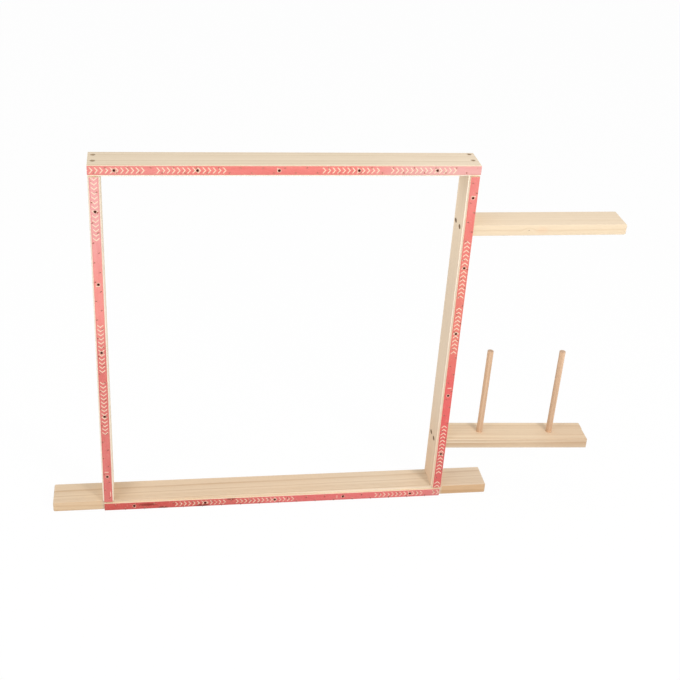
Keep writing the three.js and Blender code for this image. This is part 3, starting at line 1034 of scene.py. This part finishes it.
def strip_looks():
    """What printed_plywood takes for each strip, with brown stains and a scrape as its blemishes."""
    brown = srgb(146, 28, 20)
    cream = srgb(250, 222, 196)
    return {
        # Ink shifts along each strip, partly painted light: the upright strips are paler toward the top and
        # a deeper red low down
        "top": dict(
            direction=1, mark_start=0.0814, wear=0.15, seed=1.0, ink=srgb(236, 132, 126),
            ink_shifts_and_light=((-0.20, -0.30, srgb(236, 144, 139)), (0.12, 0.33, srgb(234, 176, 172)))),
        "left": dict(
            direction=-1, mark_start=-0.0704, wear=0.30, seed=2.3, ink=srgb(227, 126, 121),
            ink_shifts_and_light=((-0.02, 0.12, srgb(247, 154, 148)), (0.15, 0.36, srgb(241, 172, 171))),
            blemishes=((-0.425, -0.0062, 0.012, 0.0012, cream),)),
        "base": dict(
            direction=-1, mark_start=-0.2601, wear=0.75, seed=3.7, ink=srgb(230, 120, 119),
            ink_shifts_and_light=((-0.34, -0.44, srgb(225, 132, 131)), (0.0, 0.09, srgb(217, 110, 104)),
                   (0.12, 0.30, srgb(210, 93, 87))),
            blemishes=((0.338, -0.0022, 0.028, 0.0050, brown), (0.297, 0.0088, 0.014, 0.0046, brown),
                       (0.193, 0.0076, 0.021, 0.0054, brown), (0.119, -0.0086, 0.014, 0.0048, brown))),
        "right": dict(
            direction=-1, mark_start=-0.0240, wear=0.25, seed=5.1, ink=srgb(233, 138, 133),
            ink_shifts_and_light=((-0.42, -0.34, srgb(235, 131, 124)), (-0.28, -0.14, srgb(232, 131, 120)),
                   (0.0, 0.14, srgb(232, 105, 104)), (0.24, 0.38, srgb(221, 107, 105)))),
    }


def dress_strips():
    """The four printed strips with their pins and nails."""
    nail_steel = weathered_steel("dark_nail_steel", srgb(66, 20, 14), srgb(96, 34, 24), seed=1.0,
                                 roughness=0.70, metallic=0.10, specular=0.2)
    # The pins are steel with rust, tinted red as a painted reflection of the red print round them
    pin_steel_red_reflection = weathered_steel("pin_steel_red_reflection", srgb(166, 102, 90), srgb(130, 72, 60), seed=2.0,
                                roughness=0.50, metallic=0.4, specular=0.3)
    splinter_wood = raised_fibres("raised_fibres")
    looks = strip_looks()
    rng = random.Random(7)
    for side in sides:
        length, width = strip_holder(side)[1:]
        material = printed_plywood(f"print_{side}", length, width, nail_row(side), **looks[side])
        build_strip(side, material, rng)
        build_pins(side, pin_steel_red_reflection, splinter_wood, rng)
    for node in sorted(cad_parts):
        if node.startswith("nail_"):
            build_nail(node, nail_steel, rng)


def dress_screws():
    """Yellow zinc-plated screws in place of the plain ones."""
    material = weathered_steel("yellow_zinc", srgb(172, 144, 106), srgb(126, 98, 70), seed=5.0,
                               roughness=0.48, metallic=0.6, specular=0.5)
    for node in sorted(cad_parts):
        if node.startswith("screw_"):
            build_screw(node, material)


def dress_pegs():
    """The two pegs, each from a dowel of its own."""
    build_peg("inner_peg", dowel_wood("dowel_inner", seed=0.0))
    build_peg("outer_peg", dowel_wood("dowel_outer", seed=5.0))


# The studio
def aimed(place, aim):
    """Stands at place and looks at aim, with the local Y axis up."""
    turn = (Vector(aim) - Vector(place)).to_track_quat("-Z", "Y").to_matrix().to_4x4()
    return Matrix.Translation(place) @ turn


def add_camera():
    """The photograph's view."""
    data = bpy.data.cameras.new("camera")
    data.sensor_width = camera_sensor
    data.lens = camera_lens
    data.clip_end = camera_clip_end
    camera = bpy.data.objects.new("camera", data)
    bpy.context.scene.collection.objects.link(camera)
    camera.matrix_world = aimed(camera_place, camera_aim) @ Matrix.Rotation(camera_roll, 4, "Z")
    bpy.context.scene.camera = camera


def seen_directly(g):
    """1 for camera, glossy and transmission rays."""
    path = g.node("ShaderNodeLightPath").outputs
    camera_or_glossy = g.math("MAXIMUM", path["Is Camera Ray"], path["Is Glossy Ray"])
    return g.math("MAXIMUM", camera_or_glossy, path["Is Transmission Ray"])


def floor_material():
    """Matt, and nearly all plain white where it is seen, so that a trace of the object's shadow is left."""
    material = bpy.data.materials.new("white_floor")
    material.use_nodes = True
    g = Nodes(material.node_tree)
    output = g.node("ShaderNodeOutputMaterial")
    seen = seen_directly(g)
    matt = g.filled("ShaderNodeBsdfDiffuse", g.mix(seen, floor_colour, floor_seen_colour))
    glow = g.filled("ShaderNodeEmission", white, 1.0)
    g.put(output.inputs["Surface"], g.mix_shaders(g.times(seen, floor_white_share), matt, glow))
    return material


def add_floor():
    """A wide floor under the object."""
    bm = bmesh.new()
    corners = []
    for x, y in ((-1, -1), (1, -1), (1, 1), (-1, 1)):
        corners.append(bm.verts.new((x * floor_half, y * floor_half, 0.0)))
    bm.faces.new(corners)
    mesh = bpy.data.meshes.new("floor")
    bm.to_mesh(mesh)
    bm.free()
    mesh.materials.append(floor_material())
    floor = bpy.data.objects.new("floor", mesh)
    bpy.context.scene.collection.objects.link(floor)


def add_world():
    """White where it is seen, and a plain soft light on the object."""
    world = bpy.data.worlds.new("studio")
    bpy.context.scene.world = world
    world.use_nodes = True
    g = Nodes(world.node_tree)
    output = g.node("ShaderNodeOutputWorld")
    light = g.filled("ShaderNodeBackground", world_colour, world_strength)
    seen = g.filled("ShaderNodeBackground", white, 1.0)
    g.put(output.inputs["Surface"], g.mix_shaders(seen_directly(g), light, seen))


def add_lamp(name, place, aim, size, power, colour):
    """A soft rectangular lamp."""
    data = bpy.data.lights.new(name, "AREA")
    data.shape = "RECTANGLE"
    data.size, data.size_y = size
    data.energy = power
    data.color = colour
    lamp = bpy.data.objects.new(name, data)
    bpy.context.scene.collection.objects.link(lamp)
    lamp.matrix_world = aimed(place, aim)


def add_lamps():
    """The key in front on the right, and fills in front on the left, at both sides and overhead."""
    middle = (0.1, 0.0, 0.7)
    low_middle = (0.1, 0.0, 0.4)
    warm = (1.0, 0.965, 0.91)
    pale = (1.0, 0.99, 0.98)
    add_lamp("lamp_key", (1.5, -2.4, 2.0), middle, size=(0.7, 0.7), power=42.5, colour=warm)
    add_lamp("lamp_left", (-1.9, -1.8, 1.6), middle, size=(1.0, 0.8), power=16.4, colour=warm)
    add_lamp("lamp_side", (-8.6, 0.56, 2.0), middle, size=(3.0, 3.0), power=219.0, colour=(1.0, 0.98, 0.96))
    add_lamp("lamp_right", (5.2, 0.1, 0.7), middle, size=(1.6, 1.6), power=55.0, colour=(0.97, 0.99, 1.0))
    add_lamp("lamp_overhead", (0.1, 0.2, 2.6), low_middle, size=(2.4, 2.0), power=9.0, colour=pale)


dress_boards()
dress_strips()
dress_screws()
dress_pegs()
add_camera()
add_floor()
add_world()
add_lamps()
bpy.context.scene.view_settings.view_transform = "Standard"
